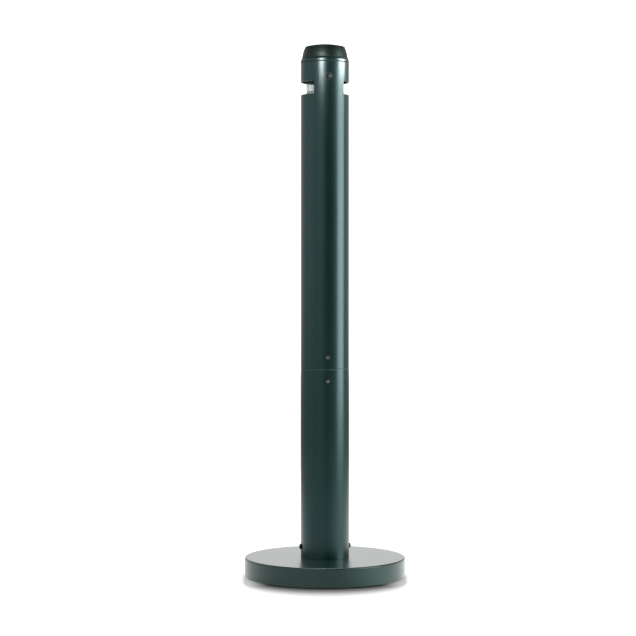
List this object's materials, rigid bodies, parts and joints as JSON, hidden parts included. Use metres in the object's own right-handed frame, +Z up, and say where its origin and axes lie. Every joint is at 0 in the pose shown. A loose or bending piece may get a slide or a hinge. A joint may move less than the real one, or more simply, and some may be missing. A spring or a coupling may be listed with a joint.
{
  "type": "ashtray bin",
  "caption": "Slim smokers' pole: a steel column with two side slots near a domed cap, a lift-off upper tube, a lift-out liner and a weighted round base.",
  "frame": {"origin": "centre of the footprint, on the floor", "axes": "+Z up along the column, -Y towards the front strip with the screws, the two slots face -X and +X"},
  "size_m": [0.315, 0.315, 1.0458],
  "materials": {
    "painted_steel": "semi-gloss powder coat, very dark green",
    "black_plastic": "fine moulded grain, satin black",
    "galvanised_steel": "hot-dip galvanised, dull with a faint spangle",
    "cast_iron": "rough sand casting, dark primer",
    "rubber": "matte",
    "dark_screws": "dark zinc plate",
    "zinc_fasteners": "bright zinc plate"
  },
  "bodies": {
    "base": {"base_cover": "painted_steel", "base_weight": "cast_iron", "foot_pads": "rubber", "post_socket": "galvanised_steel", "socket_bolts": "zinc_fasteners", "socket_washers": "zinc_fasteners", "socket_nuts": "zinc_fasteners", "liner_seat": "black_plastic", "lower_tube": "painted_steel", "joint_sleeve": "galvanised_steel", "foot_screws": "dark_screws", "foot_screw_nuts": "zinc_fasteners", "lower_joint_screws": "dark_screws", "lower_joint_nuts": "zinc_fasteners"},
    "liner": {"liner_tube": "galvanised_steel", "liner_bottom": "galvanised_steel"},
    "column": {"upper_tube": "painted_steel", "guide_ring": "galvanised_steel", "upper_joint_screws": "dark_screws", "upper_joint_nuts": "zinc_fasteners", "cap_plug": "black_plastic", "cap_collar": "painted_steel", "cap_dome": "black_plastic", "dome_screws": "zinc_fasteners", "top_screws": "dark_screws", "top_screw_nuts": "zinc_fasteners"}
  },
  "joints": [
    {"name": "liner_lift", "type": "slide", "parent": "base", "child": "liner", "axis": [0, 0, 1], "range_m": [0, 0.43]},
    {"name": "column_lift", "type": "slide", "parent": "liner", "child": "column", "axis": [0, 0, 1], "range_m": [0, 0.56]}
  ]
}
